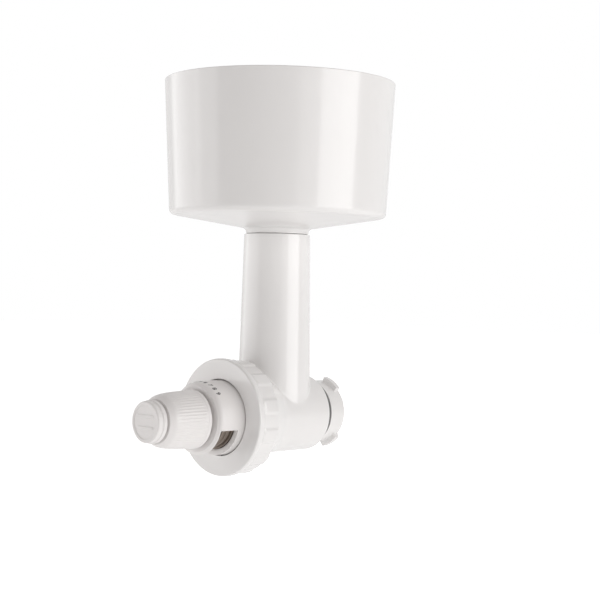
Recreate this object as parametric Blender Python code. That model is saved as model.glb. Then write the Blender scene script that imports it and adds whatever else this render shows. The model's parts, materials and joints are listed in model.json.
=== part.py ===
"""Grain-mill attachment for the front power drive of a kitchen machine.

Metres, +Z up. The origin is the centre of the seat face, where the barrel meets the machine:
+Y points into the machine and the grinding head looks towards -Y. Pieces on the drive axis are
modelled on a local Z axis that runs forward, so their "along" values are distances in front of
the seat; pieces of the hopper are modelled on the throat's own upright axis.
"""
from math import cos, pi, radians, sin, tau

import bmesh
import bpy
from mathutils import Matrix, Vector

MM = 0.001
WELD = 0.00001
GAP = 0.3 * MM                      # clearance between touching pieces

LARGE, MEDIUM, SMALL, TINY = 32, 24, 20, 12      # sides of a round piece, by its size

# Hopper and throat, heights above the drive axis
THROAT_FORWARD = 24 * MM            # throat axis in front of the seat
THROAT_TOP = 99.5 * MM
THROAT_TOP_R = 18.3 * MM
THROAT_FOOT_R = 19.9 * MM
THROAT_BORE_R = 14.0 * MM
SOCKET_R = 16.0 * MM                # takes the hopper's spigot
SOCKET_FLOOR = 83.5 * MM
HOPPER_TOP = 183.6 * MM
HOPPER_TOP_R = 64.0 * MM
HOPPER_FOOT_R = 60.2 * MM
HOPPER_FOOT = 112.0 * MM
HOPPER_WALL = 2.2 * MM
NECK_R = 17.3 * MM
GRAIN_R = 12.2 * MM                 # way through the spigot

# Barrel, distances in front of the seat
BARREL_R = 21.0 * MM
CHAMBER_R = 16.5 * MM
CHAMBER_BACK = 13.0 * MM
THREAD_CORE_R = 26.4 * MM
THREAD_CREST_R = 27.7 * MM
THREAD_PITCH = 4.0 * MM
THREAD_START = 51.5 * MM
THREAD_TURNS = 1.1
BARREL_FRONT = 57.5 * MM
REGISTER_R = 22.8 * MM              # counterbore that centres the grinding head
REGISTER_BACK = 53.6 * MM

# Hub that plugs into the machine, behind the seat
HUB_R = 17.5 * MM
HUB_BORE_R = 13.2 * MM
HUB_LENGTH = 16.0 * MM
LUG_R = 20.2 * MM
LUG_COUNT = 3

# Ring nut
NUT_BACK = 50.0 * MM
NUT_FACE = 65.4 * MM
NUT_FLANGE_R = 31.5 * MM
NUT_BODY_R = 30.2 * MM
NUT_RIB_R = 31.1 * MM
NUT_RIBS = 12
NUT_BORE_R = 28.3 * MM
NUT_EYE_R = 20.5 * MM
NUT_WALL_BACK = 62.4 * MM

# Grinding head
FLANGE_BACK = 58.9 * MM
FLANGE_FRONT = 62.1 * MM
FLANGE_R = 25.9 * MM
CASING_R = 20.0 * MM
CASING_BORE_R = 17.6 * MM
CASING_FACE = 82.5 * MM
PLATE_BACK = 78.0 * MM
BOSS_R = 12.0 * MM
BOSS_FACE = 90.0 * MM
WINDOW_BACK = 69.5 * MM
WINDOW_FRONT = 81.0 * MM
WINDOW_TOP = -5.1 * MM              # below the drive axis
BURR_R = 17.3 * MM
BURR_NOSE_R = 15.6 * MM
BURR_BACK = 54.3 * MM
BURR_FRONT = 75.5 * MM
BUSH_R = 8.0 * MM
BUSH_FRONT = 97.0 * MM

# Adjusting knob
KNOB_BACK = 84.4 * MM
KNOB_FRONT = 110.3 * MM
KNOB_WEB_BACK = 90.4 * MM
KNOB_WEB_FRONT = 93.5 * MM
KNOB_SOCKET_R = 9.9 * MM
CAP_FACE = 116.8 * MM

# Drive line
SHAFT_R = 5.0 * MM
HEX_R = 4.6 * MM                    # across corners, half
HEX_BORE_R = 5.0 * MM
AUGER_BACK = 14.9 * MM
AUGER_FRONT = 50.5 * MM
AUGER_HUB_R = 7.0 * MM
AUGER_R = 15.8 * MM
AUGER_PITCH = 15.0 * MM
SPINDLE_R = 4.4 * MM
SPINDLE_BORE_R = 4.85 * MM

# The drive axis: local +Z runs forward, local +Y runs up.
FORWARD = Matrix.Rotation(pi / 2, 4, "X")


def clear_scene():
    """Remove whatever objects the file already holds."""
    for thing in list(bpy.data.objects):
        bpy.data.objects.remove(thing, do_unlink=True)


def finish_material(name, colour, roughness, metallic=0.0):
    """A Principled material of one plain finish."""
    material = bpy.data.materials.new(name)
    material.use_nodes = True
    shader = material.node_tree.nodes["Principled BSDF"]
    shader.inputs["Base Color"].default_value = (*colour, 1.0)
    shader.inputs["Roughness"].default_value = roughness
    shader.inputs["Metallic"].default_value = metallic
    material.diffuse_color = (*colour, 1.0)
    return material


def add_object(name, mesh_builder, parent=None, material=None):
    """Turn a bmesh into a named object under its parent empty."""
    bmesh.ops.remove_doubles(mesh_builder, verts=mesh_builder.verts, dist=WELD)
    bmesh.ops.recalc_face_normals(mesh_builder, faces=mesh_builder.faces)
    mesh = bpy.data.meshes.new(name)
    mesh_builder.to_mesh(mesh)
    mesh_builder.free()
    mesh.shade_smooth()
    mesh.set_sharp_from_angle(angle=radians(35))
    piece = bpy.data.objects.new(name, mesh)
    bpy.context.scene.collection.objects.link(piece)
    piece.parent = parent
    if material:
        mesh.materials.append(material)
    return piece


def lathe(name, outline, sides, parent=None, material=None):
    """Revolve an outline of (radius, along) points about local Z.

    An outline that starts and ends on the axis stays open there; any other is closed to a ring.
    """
    builder = bmesh.new()
    points = [builder.verts.new((radius, 0.0, along)) for radius, along in outline]
    lines = [builder.edges.new(pair) for pair in zip(points, points[1:])]
    if outline[0][0] > 0.0 or outline[-1][0] > 0.0:
        lines.append(builder.edges.new((points[-1], points[0])))
    bmesh.ops.spin(builder, geom=points + lines, cent=(0, 0, 0), axis=(0, 0, 1),
                   angle=tau, steps=sides, use_merge=True)
    return add_object(name, builder, parent, material)


def loft(name, sections, parent=None, material=None):
    """Skin a row of equal closed sections and cap both ends."""
    builder = bmesh.new()
    rings = [[builder.verts.new(point) for point in section] for section in sections]
    for ring, following in zip(rings, rings[1:]):
        count = len(ring)
        for index in range(count):
            after = (index + 1) % count
            builder.faces.new((ring[index], ring[after], following[after], following[index]))
    builder.faces.new(rings[0])
    builder.faces.new(rings[-1])
    return add_object(name, builder, parent, material)


def polar(radius, angle, along):
    """A point at an angle from the top, turning towards +X."""
    return Vector((radius * sin(angle), radius * cos(angle), along))


def arc_block(name, inner, outer, back, front, middle, spread, steps=6):
    """A block bent round the axis, between two radii, centred on an angle."""
    sections = []
    for step in range(steps + 1):
        angle = middle + spread * (step / steps - 0.5)
        sections.append([polar(inner, angle, back), polar(outer, angle, back),
                         polar(outer, angle, front), polar(inner, angle, front)])
    return loft(name, sections)


def box(name, low, high, parent=None, material=None):
    """A plain block between two corners."""
    centre = (Vector(low) + Vector(high)) / 2
    size = Vector(high) - Vector(low)
    builder = bmesh.new()
    bmesh.ops.create_cube(builder, size=1.0,
                          matrix=Matrix.Translation(centre) @ Matrix.Diagonal((*size, 1.0)))
    return add_object(name, builder, parent, material)


def helix_rib(name, foot_r, crest_r, foot_width, crest_width, pitch, start, turns, steps):
    """A right-handed ridge wound round the axis, fading out at both ends."""
    sections = []
    for step in range(steps + 1):
        share = step / steps
        angle = -tau * turns * share
        middle = start + pitch * turns * share
        fade = min(1.0, 8.0 * min(share, 1.0 - share) + 0.15)
        crest = foot_r + (crest_r - foot_r) * fade
        sections.append([polar(foot_r - MM, angle, middle - foot_width / 2),
                         polar(crest, angle, middle - crest_width / 2),
                         polar(crest, angle, middle + crest_width / 2),
                         polar(foot_r - MM, angle, middle + foot_width / 2)])
    return loft(name, sections)


def coil(name, radius, wire_r, back, front, turns, parent, material, centre=(0.0, 0.0),
         steps_per_turn=10, sides=5):
    """A compression spring: a round wire on a helix, with both ends capped."""
    steps = int(turns * steps_per_turn)
    offset = Vector((centre[0], centre[1], 0.0))
    sections = []
    for step in range(steps + 1):
        share = step / steps
        angle = tau * turns * share
        along = back + wire_r + (front - back - 2 * wire_r) * share
        sections.append([offset + polar(radius + wire_r * cos(tau * side / sides), angle,
                                        along + wire_r * sin(tau * side / sides))
                         for side in range(sides)])
    return loft(name, sections, parent, material)


def ring_profile(radius, height, wire_r, sides=6):
    """Outline of a round ring: a small circle at a radius and a height."""
    return [(radius + wire_r * cos(tau * side / sides), height + wire_r * sin(tau * side / sides))
            for side in range(sides)]


def apply_boolean(target, tool, operation):
    """Cut or join the tool into the target with the exact solver, then drop the tool."""
    tool.hide_render = True
    tool.display_type = "WIRE"
    modifier = target.modifiers.new(operation, "BOOLEAN")
    modifier.operation = operation
    modifier.solver = "EXACT"
    modifier.object = tool
    bpy.context.view_layer.update()
    evaluated = target.evaluated_get(bpy.context.evaluated_depsgraph_get())
    mesh = bpy.data.meshes.new_from_object(evaluated)
    target.modifiers.clear()
    target.data = mesh
    bpy.data.objects.remove(tool, do_unlink=True)
    tidy_mesh(target)


def tidy_mesh(piece):
    """Weld the cut edges and shade the round faces smooth."""
    builder = bmesh.new()
    builder.from_mesh(piece.data)
    bmesh.ops.remove_doubles(builder, verts=builder.verts, dist=WELD)
    bmesh.ops.dissolve_degenerate(builder, edges=builder.edges, dist=WELD)
    builder.to_mesh(piece.data)
    builder.free()
    piece.data.shade_smooth()
    piece.data.set_sharp_from_angle(angle=radians(35))


def cut(target, tool):
    apply_boolean(target, tool, "DIFFERENCE")


def join(target, tool):
    apply_boolean(target, tool, "UNION")


def rod(name, radius, back, front, sides, parent=None, material=None):
    """A plain round or hexagonal bar along the axis."""
    return lathe(name, [(0.0, back), (radius, back), (radius, front), (0.0, front)],
                 sides, parent, material)


def angle_from_side(point):
    """Angle of a point about local Z, from local +X."""
    return Vector((point.x, point.y)).angle_signed(Vector((1.0, 0.0)))


# --- housing -------------------------------------------------------------------------------

def make_housing(axis, throat_axis, plastic):
    """Barrel, throat, threaded front and plug-in hub, moulded as one piece."""
    groove_r = 15.8 * MM
    outline = [
        (HUB_BORE_R, -HUB_LENGTH), (HUB_R - MM, -HUB_LENGTH), (HUB_R, -HUB_LENGTH + MM),
        (HUB_R, -5.0 * MM), (groove_r, -5.0 * MM), (groove_r, -2.6 * MM), (HUB_R, -2.6 * MM),
        (HUB_R, 0.0), (BARREL_R - MM, 0.0), (BARREL_R - 0.3 * MM, 0.3 * MM), (BARREL_R, MM),
        (BARREL_R, 31 * MM), (21.8 * MM, 37 * MM), (24.0 * MM, 43 * MM), (26.0 * MM, 47 * MM),
        (THREAD_CORE_R, 49 * MM), (THREAD_CORE_R, BARREL_FRONT - MM / 2),
        (THREAD_CORE_R - MM / 2, BARREL_FRONT), (REGISTER_R, BARREL_FRONT),
        (REGISTER_R, REGISTER_BACK), (CHAMBER_R, REGISTER_BACK), (CHAMBER_R, CHAMBER_BACK),
        (9.3 * MM, CHAMBER_BACK), (9.3 * MM, 9.5 * MM), (7.3 * MM, 9.5 * MM),
        (7.3 * MM, 4.0 * MM), (HUB_BORE_R, 4.0 * MM),
    ]
    housing = lathe("mill_housing", outline, LARGE, axis, plastic)
    foot = CHAMBER_R + 1.5 * MM
    throat = lathe("throat", [
        (THROAT_BORE_R, foot), (THROAT_FOOT_R, foot), (THROAT_TOP_R, THROAT_TOP - MM),
        (THROAT_TOP_R - 0.4 * MM, THROAT_TOP), (SOCKET_R, THROAT_TOP), (SOCKET_R, SOCKET_FLOOR),
        (THROAT_BORE_R, SOCKET_FLOOR - MM)], LARGE, throat_axis)
    # The throat's foot is cut to the barrel's bore, so nothing stands in the chamber.
    core = rod("throat_core", THROAT_FOOT_R + MM, 0.0, foot + MM, LARGE, throat_axis)
    cut(core, rod("chamber", CHAMBER_R + 2 * MM, -60 * MM, 60 * MM, LARGE, axis))
    join(throat, core)
    join(housing, throat)
    cut(housing, rod("throat_bore", THROAT_BORE_R, 0.0, SOCKET_FLOOR, LARGE, throat_axis))
    thread = helix_rib("thread", THREAD_CORE_R, THREAD_CREST_R, 3.2 * MM, 0.9 * MM,
                       THREAD_PITCH, THREAD_START, THREAD_TURNS, SMALL)
    thread.parent = axis
    join(housing, thread)
    for index in range(LUG_COUNT):
        lug = arc_block("lug", HUB_R - MM, LUG_R, -15 * MM, -11 * MM,
                        pi / 6 + tau * index / LUG_COUNT, radians(36))
        lug.parent = axis
        join(housing, lug)


def make_hopper(throat_axis, plastic, rubber):
    """Bucket with a shallow funnel floor, and a spigot that plugs into the throat."""
    seat = THROAT_TOP + GAP
    spigot_r = SOCKET_R - 0.4 * MM
    spigot_end = SOCKET_FLOOR + MM
    groove_r = 13.6 * MM
    top_inner = HOPPER_TOP_R - HOPPER_WALL
    lathe("hopper", [
        (GRAIN_R, spigot_end), (spigot_r - MM, spigot_end), (spigot_r, spigot_end + MM),
        (spigot_r, 88.5 * MM), (groove_r, 88.5 * MM), (groove_r, 91.3 * MM),
        (spigot_r, 91.3 * MM), (spigot_r, seat), (NECK_R, seat), (NECK_R, 101.2 * MM),
        (18.2 * MM, 102.3 * MM), (20.5 * MM, 103.2 * MM), (27 * MM, 104.2 * MM),
        (46 * MM, 106.9 * MM), (56.5 * MM, 108.4 * MM), (58.7 * MM, 109.0 * MM),
        (59.8 * MM, 110.2 * MM), (HOPPER_FOOT_R, HOPPER_FOOT),
        (HOPPER_TOP_R - 0.1 * MM, HOPPER_TOP - 0.6 * MM), (HOPPER_TOP_R - 0.6 * MM, HOPPER_TOP),
        (top_inner, HOPPER_TOP), (HOPPER_FOOT_R - HOPPER_WALL, HOPPER_FOOT + MM),
        (56.6 * MM, 111.2 * MM), (46 * MM, 109.2 * MM), (16 * MM, 105.0 * MM),
        (GRAIN_R, 101.5 * MM)], LARGE, throat_axis, plastic)
    lathe("hopper_seal", ring_profile(14.85 * MM, 89.9 * MM, 0.8 * MM), MEDIUM,
          throat_axis, rubber)


def make_housing_fittings(axis, bronze, rubber):
    """Bearing bush, shaft seal and the hub's sealing ring."""
    lathe("rear_bush", [(5.3 * MM, 2.3 * MM), (9.0 * MM, 2.3 * MM), (9.0 * MM, 3.7 * MM),
                        (7.0 * MM, 3.7 * MM), (7.0 * MM, 9.2 * MM), (5.3 * MM, 9.2 * MM)],
          SMALL, axis, bronze)
    lathe("shaft_seal", [(5.35 * MM, 10.6 * MM), (5.9 * MM, 9.8 * MM), (9.0 * MM, 9.8 * MM),
                         (9.0 * MM, 12.7 * MM), (7.4 * MM, 12.7 * MM), (7.4 * MM, 11.0 * MM),
                         (5.9 * MM, 11.0 * MM)], SMALL, axis, rubber)
    lathe("hub_sealing_ring", ring_profile(16.95 * MM, -3.8 * MM, 0.75 * MM), MEDIUM,
          axis, rubber)


# --- ring nut and grinding head ---------------------------------------------------------------

def make_ring_nut(axis, plastic):
    """Ring nut with a plain flange, twelve low grip ribs and a hollow for the thread."""
    sides = NUT_RIBS * 6
    nut = lathe("ring_nut", [
        (NUT_BORE_R, NUT_BACK), (NUT_BODY_R - 0.4 * MM, NUT_BACK),
        (NUT_BODY_R, NUT_BACK + 0.5 * MM), (NUT_BODY_R, 61.0 * MM),
        (NUT_FLANGE_R - 0.4 * MM, 61.6 * MM), (NUT_FLANGE_R, 62.4 * MM),
        (NUT_FLANGE_R, NUT_FACE - 0.7 * MM), (NUT_FLANGE_R - 0.3 * MM, NUT_FACE - 0.2 * MM),
        (NUT_FLANGE_R - 0.9 * MM, NUT_FACE), (NUT_EYE_R, NUT_FACE),
        (NUT_EYE_R, NUT_WALL_BACK), (NUT_BORE_R, NUT_WALL_BACK)], sides, axis, plastic)
    rise = NUT_RIB_R / NUT_BODY_R
    for vertex in nut.data.vertices:
        radius = Vector((vertex.co.x, vertex.co.y)).length
        index = round(angle_from_side(vertex.co) / tau * sides) % 6
        if radius > NUT_BODY_R - 0.5 * MM and vertex.co.z < 61.2 * MM and index in (2, 3, 4):
            vertex.co.x *= rise
            vertex.co.y *= rise


def make_head_casing(axis, plastic):
    """Casing with the clamped flange, the outlet window and the boss for the knob."""
    casing = lathe("head_casing", [
        (CASING_BORE_R, 53.9 * MM), (REGISTER_R - 0.4 * MM, 53.9 * MM),
        (REGISTER_R - 0.4 * MM, FLANGE_BACK), (FLANGE_R, FLANGE_BACK),
        (FLANGE_R, FLANGE_FRONT), (CASING_R, FLANGE_FRONT), (CASING_R, NUT_FACE),
        (19.6 * MM, 79.5 * MM), (19.3 * MM, 80.7 * MM), (18.5 * MM, 81.7 * MM),
        (17.2 * MM, CASING_FACE), (BOSS_R, CASING_FACE), (BOSS_R, BOSS_FACE - MM / 2),
        (BOSS_R - MM / 2, BOSS_FACE), (BUSH_R + GAP, BOSS_FACE), (BUSH_R + GAP, PLATE_BACK),
        (CASING_BORE_R, PLATE_BACK), (CASING_BORE_R, WINDOW_BACK), (16.9 * MM, WINDOW_BACK),
        (16.9 * MM, 67.5 * MM), (CASING_BORE_R, 67.5 * MM)], LARGE, axis, plastic)
    window = box("window", (-30 * MM, -30 * MM, WINDOW_BACK), (30 * MM, WINDOW_TOP, WINDOW_FRONT))
    window.parent = axis
    cut(casing, window)
    for side in (-1, 1):
        reach = sorted((side * 15.0 * MM, side * 18.9 * MM))
        slot = box("key_slot", (reach[0], -1.8 * MM, 50 * MM), (reach[1], 1.8 * MM, 63.5 * MM))
        slot.parent = axis
        cut(casing, slot)
    hole = rod("ball_hole", 1.55 * MM, 79.2 * MM, 84 * MM, TINY)
    hole.parent = axis
    hole.location = (0.0, 14.1 * MM, 0.0)
    cut(casing, hole)


def make_outer_burr(axis, steel):
    """Fixed steel burr: a sleeve with a stepped nose that shows in the window."""
    burr = lathe("outer_burr", [
        (12.6 * MM, BURR_BACK), (BURR_R - MM / 2, BURR_BACK), (BURR_R, BURR_BACK + MM / 2),
        (BURR_R, 67.2 * MM), (16.5 * MM, 67.2 * MM), (16.5 * MM, 70.4 * MM),
        (15.0 * MM, 70.6 * MM), (15.0 * MM, 71.4 * MM), (BURR_NOSE_R, 71.6 * MM),
        (BURR_NOSE_R, 73.2 * MM), (15.1 * MM, 73.4 * MM), (15.1 * MM, BURR_FRONT - GAP),
        (14.8 * MM, BURR_FRONT), (14.1 * MM, BURR_FRONT)], LARGE, axis, steel)
    for side in (-1, 1):
        reach = sorted((side * 16.0 * MM, side * 19.0 * MM))
        slot = box("burr_slot", (reach[0], -1.8 * MM, 52 * MM), (reach[1], 1.8 * MM, 63.5 * MM))
        slot.parent = axis
        cut(burr, slot)


def make_head_fittings(axis, steel, brass, spring_steel, rubber):
    """Keys, gasket, spindle bush, retaining ring and the knob's click stop."""
    for name, side in (("burr_key_left", -1), ("burr_key_right", 1)):
        reach = sorted((side * 16.3 * MM, side * 18.5 * MM))
        box(name, (reach[0], -1.5 * MM, 55 * MM), (reach[1], 1.5 * MM, 63 * MM), axis, steel)
    lathe("head_gasket", [(22.9 * MM, 57.8 * MM), (25.7 * MM, 57.8 * MM), (25.7 * MM, 58.6 * MM),
                          (22.9 * MM, 58.6 * MM)], MEDIUM, axis, rubber)
    groove_r = 7.1 * MM
    bush = lathe("spindle_bush", [
        (0.0, 78.3 * MM), (BUSH_R, 78.3 * MM), (BUSH_R, 93.8 * MM), (groove_r, 93.8 * MM),
        (groove_r, 95.4 * MM), (BUSH_R, 95.4 * MM), (BUSH_R, BUSH_FRONT - MM / 2),
        (BUSH_R - MM / 2, BUSH_FRONT), (0.0, BUSH_FRONT)], SMALL, axis, brass)
    cut(bush, rod("spindle_bore", SPINDLE_BORE_R, 70 * MM, 100 * MM, 6, axis))
    lathe("knob_retaining_ring", [(7.4 * MM, 94.1 * MM), (9.5 * MM, 94.1 * MM),
                                  (9.5 * MM, 95.1 * MM), (7.4 * MM, 95.1 * MM)],
          SMALL, axis, spring_steel)
    ball = bmesh.new()
    bmesh.ops.create_uvsphere(ball, u_segments=TINY, v_segments=8, radius=1.2 * MM,
                              matrix=Matrix.Translation((0.0, 14.1 * MM, 82.9 * MM)))
    add_object("detent_ball", ball, axis, steel)
    coil("detent_spring", 0.85 * MM, 0.22 * MM, 79.5 * MM, 81.4 * MM, 3, axis, spring_steel,
         centre=(0.0, 14.1 * MM))


# --- adjusting knob and spindle -----------------------------------------------------------------

def make_knob(axis, plastic, brass):
    """Knob, its threaded brass insert and the cap that closes its front."""
    lathe("adjusting_knob", [
        (12.6 * MM, KNOB_BACK), (15.2 * MM, KNOB_BACK), (15.6 * MM, 84.8 * MM),
        (15.5 * MM, 87.4 * MM), (15.0 * MM, 96.0 * MM), (14.1 * MM, 105.5 * MM),
        (13.2 * MM, 108.6 * MM), (12.3 * MM, 110.0 * MM), (11.6 * MM, KNOB_FRONT),
        (KNOB_SOCKET_R, KNOB_FRONT),
        (KNOB_SOCKET_R, KNOB_WEB_FRONT), (BUSH_R + 0.4 * MM, KNOB_WEB_FRONT),
        (BUSH_R + 0.4 * MM, KNOB_WEB_BACK), (12.6 * MM, KNOB_WEB_BACK)], LARGE, axis, plastic)
    rod_r = KNOB_SOCKET_R - GAP
    nut = rod("adjuster_nut", rod_r, 98.0 * MM, 104.0 * MM, SMALL, axis, brass)
    cut(nut, rod("nut_bore", SPINDLE_R + 0.3 * MM, 90 * MM, 110 * MM, SMALL, axis))
    lathe("knob_cap", [
        (0.0, 112.5 * MM), (6.0 * MM, 112.5 * MM), (6.0 * MM, 104.3 * MM), (rod_r, 104.3 * MM),
        (rod_r, 110.9 * MM), (11.1 * MM, 110.9 * MM), (11.2 * MM, 113.4 * MM),
        (10.8 * MM, 113.8 * MM), (10.6 * MM, 116.0 * MM), (10.0 * MM, 116.6 * MM),
        (9.0 * MM, CAP_FACE), (0.0, CAP_FACE)], MEDIUM, axis, plastic)


def make_spindle(axis, steel):
    """Hexagonal spindle that the insert screws in and out, and the thrust ball before it."""
    rod("thrust_spindle", SPINDLE_R, 80.7 * MM, 103.0 * MM, 6, axis, steel)
    ball = bmesh.new()
    bmesh.ops.create_uvsphere(ball, u_segments=TINY, v_segments=8, radius=2.5 * MM,
                              matrix=Matrix.Translation((0.0, 0.0, 77.9 * MM)))
    add_object("thrust_ball", ball, axis, steel)


# --- drive line ------------------------------------------------------------------------------------

def make_rotor(axis, steel):
    """Turning steel burr: a fluted cone with a blind hexagonal socket."""
    teeth = 12
    sides = teeth * 4
    stations = ((7.5, 57.0, 0.0), (8.6, 58.0, 1.6), (10.6, 65.0, 1.5), (12.4, 72.0, 0.9),
                (13.1, 75.3, 0.5), (12.6, 76.3, 0.0))
    sections = []
    for radius, along, depth in stations:
        twist = radians(2.5) * (along - 57.0)
        section = []
        for side in range(sides):
            valley = depth * (0.0, 0.6, 1.0, 0.4)[side % 4]
            section.append(polar((radius - valley) * MM, tau * side / sides + twist, along * MM))
        sections.append(section)
    rotor = loft("inner_burr", sections, axis, steel)
    cut(rotor, rod("rotor_socket", HEX_BORE_R, 50 * MM, 72.5 * MM, 6, axis))
    cut(rotor, lathe("ball_seat", [(0.0, 75.0 * MM), (1.4 * MM, 75.0 * MM), (2.7 * MM, 76.4 * MM),
                                   (2.7 * MM, 78 * MM), (0.0, 78 * MM)], TINY, axis))


def make_drive_line(axis, steel, auger_plastic, coupling_plastic, spring_steel, acetal):
    """Shaft with its auger, washer, circlip, coupling, coupling screw and burr spring."""
    shaft = lathe("drive_shaft", [
        (0.0, -MM), (4.2 * MM, -MM), (4.2 * MM, 1.9 * MM), (SHAFT_R, 1.9 * MM),
        (SHAFT_R, 14.7 * MM), (0.0, 14.7 * MM)], SMALL, axis, steel)
    join(shaft, rod("shaft_front", HEX_R, 10 * MM, 71.4 * MM, 6, axis))
    join(shaft, rod("shaft_tail", HEX_R, -9.3 * MM, 0.0, 6, axis))
    cut(shaft, rod("tapped_hole", 2.35 * MM, -12 * MM, -1.5 * MM, TINY, axis))

    auger = rod("feed_auger", AUGER_HUB_R, AUGER_BACK, AUGER_FRONT, SMALL, axis, auger_plastic)
    turns = (AUGER_FRONT - AUGER_BACK - 3 * MM) / AUGER_PITCH
    steps = int(turns * SMALL)
    flight = []
    for step in range(steps + 1):
        share = step / steps
        angle = -tau * turns * share
        along = AUGER_BACK + 1.5 * MM + AUGER_PITCH * turns * share
        flight.append([polar(AUGER_HUB_R - MM, angle, along - 1.4 * MM),
                       polar(AUGER_R, angle, along - 0.8 * MM),
                       polar(AUGER_R, angle, along + 0.8 * MM),
                       polar(AUGER_HUB_R - MM, angle, along + 1.4 * MM)])
    blade = loft("flight", flight)
    blade.parent = axis
    join(auger, blade)
    cut(auger, rod("auger_bore", HEX_BORE_R, 0.0, 60 * MM, 6, axis))

    lathe("thrust_washer", [(5.4 * MM, 13.3 * MM), (8.5 * MM, 13.3 * MM), (8.5 * MM, 14.5 * MM),
                            (5.4 * MM, 14.5 * MM)], SMALL, axis, acetal)
    lathe("shaft_circlip", [(4.5 * MM, 0.7 * MM), (6.8 * MM, 0.7 * MM), (6.8 * MM, 1.6 * MM),
                            (4.5 * MM, 1.6 * MM)], SMALL, axis, spring_steel)
    coil("burr_spring", 6.2 * MM, 0.5 * MM, 50.8 * MM, 56.7 * MM, 3, axis, spring_steel)

    coupling = rod("drive_coupling", 8.0 * MM, -14 * MM, -1.0 * MM, SMALL, axis,
                   coupling_plastic)
    for index in range(3):
        wing = arc_block("wing", 6.0 * MM, 12.2 * MM, -14 * MM, -2.5 * MM,
                         tau * index / 3, radians(34), steps=3)
        wing.parent = axis
        join(coupling, wing)
    cut(coupling, rod("coupling_bore", HEX_BORE_R, -9.7 * MM, 2 * MM, 6, axis))
    cut(coupling, rod("screw_hole", 2.5 * MM, -12 * MM, -8 * MM, TINY, axis))
    cut(coupling, rod("head_recess", 4.5 * MM, -16 * MM, -11.5 * MM, SMALL, axis))
    screw = lathe("coupling_screw", [
        (0.0, -13.8 * MM), (3.4 * MM, -13.8 * MM), (4.0 * MM, -13.0 * MM), (4.0 * MM, -11.8 * MM),
        (2.0 * MM, -11.8 * MM), (2.0 * MM, -2.2 * MM), (0.0, -2.2 * MM)], TINY, axis, steel)
    cross = box("cross_slot", (-2.4 * MM, -0.4 * MM, -15 * MM), (2.4 * MM, 0.4 * MM, -12.9 * MM))
    cross.parent = axis
    cut(screw, cross)


def make_axes():
    """Empties on the two axes that carry every piece."""
    drive_axis = bpy.data.objects.new("drive_axis", None)
    drive_axis.matrix_world = FORWARD
    throat_axis = bpy.data.objects.new("throat_axis", None)
    throat_axis.location = (0.0, -THROAT_FORWARD, 0.0)
    for empty in (drive_axis, throat_axis):
        bpy.context.scene.collection.objects.link(empty)
    bpy.context.view_layer.update()
    return drive_axis, throat_axis


def main():
    clear_scene()
    white = finish_material("white_plastic", (0.83, 0.81, 0.80), 0.28)
    ivory = finish_material("auger_plastic", (0.72, 0.71, 0.68), 0.4)
    black = finish_material("coupling_plastic", (0.05, 0.05, 0.055), 0.45)
    acetal = finish_material("acetal", (0.78, 0.77, 0.74), 0.45)
    steel = finish_material("burr_steel", (0.36, 0.33, 0.31), 0.4, 1.0)
    bright = finish_material("bright_steel", (0.62, 0.62, 0.63), 0.28, 1.0)
    spring = finish_material("spring_steel", (0.42, 0.42, 0.44), 0.32, 1.0)
    brass = finish_material("brass", (0.72, 0.53, 0.26), 0.3, 1.0)
    bronze = finish_material("bronze", (0.55, 0.36, 0.2), 0.4, 1.0)
    rubber = finish_material("grey_rubber", (0.16, 0.16, 0.17), 0.7)
    drive_axis, throat_axis = make_axes()
    make_housing(drive_axis, throat_axis, white)
    make_housing_fittings(drive_axis, bronze, rubber)
    make_hopper(throat_axis, white, rubber)
    make_ring_nut(drive_axis, white)
    make_head_casing(drive_axis, white)
    make_outer_burr(drive_axis, steel)
    make_head_fittings(drive_axis, bright, brass, spring, rubber)
    make_knob(drive_axis, white, brass)
    make_spindle(drive_axis, bright)
    make_rotor(drive_axis, steel)
    make_drive_line(drive_axis, bright, ivory, black, spring, acetal)


main()
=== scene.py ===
# %% [markdown]
# # A grain mill attachment, dressed for its portrait
#
# The real object is a white plastic grain mill that plugs into the front drive of a kitchen
# machine: a round hopper on an upright throat, a barrel with a feed worm inside, a ring nut, a
# grinding head with steel burrs, and a ribbed knob that sets how fine it grinds. The measured
# model already says where every piece sits and how it moves. This lesson loads that model as a
# fixed frame and gives each piece its finished surface and its material.

# %% Load the fixed frame
import json
from math import cos, pi, radians, sin, tau

import bmesh
import bpy
import numpy as np
from mathutils import Matrix, Vector


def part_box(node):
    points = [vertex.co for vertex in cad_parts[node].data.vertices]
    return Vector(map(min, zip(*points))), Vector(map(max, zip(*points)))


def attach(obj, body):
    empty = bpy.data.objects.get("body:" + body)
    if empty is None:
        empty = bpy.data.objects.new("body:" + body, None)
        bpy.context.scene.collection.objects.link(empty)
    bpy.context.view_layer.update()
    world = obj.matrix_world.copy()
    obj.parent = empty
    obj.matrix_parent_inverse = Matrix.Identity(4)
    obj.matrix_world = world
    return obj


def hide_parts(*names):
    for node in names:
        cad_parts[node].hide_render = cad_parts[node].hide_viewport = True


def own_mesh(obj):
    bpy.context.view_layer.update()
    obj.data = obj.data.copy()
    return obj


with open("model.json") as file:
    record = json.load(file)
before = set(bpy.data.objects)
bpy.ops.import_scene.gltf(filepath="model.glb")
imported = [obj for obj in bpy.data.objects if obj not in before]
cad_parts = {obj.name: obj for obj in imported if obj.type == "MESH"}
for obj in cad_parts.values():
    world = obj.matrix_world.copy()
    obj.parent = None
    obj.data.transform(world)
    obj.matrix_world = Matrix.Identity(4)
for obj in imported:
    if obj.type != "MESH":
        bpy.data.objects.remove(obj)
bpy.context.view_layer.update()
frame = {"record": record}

MM = 0.001                     # shapes are worked out in millimetres, meshes are in metres
WELD = 0.001                   # points closer than this are one point
THROAT = 24                    # the throat stands this far in front of the seat

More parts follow.
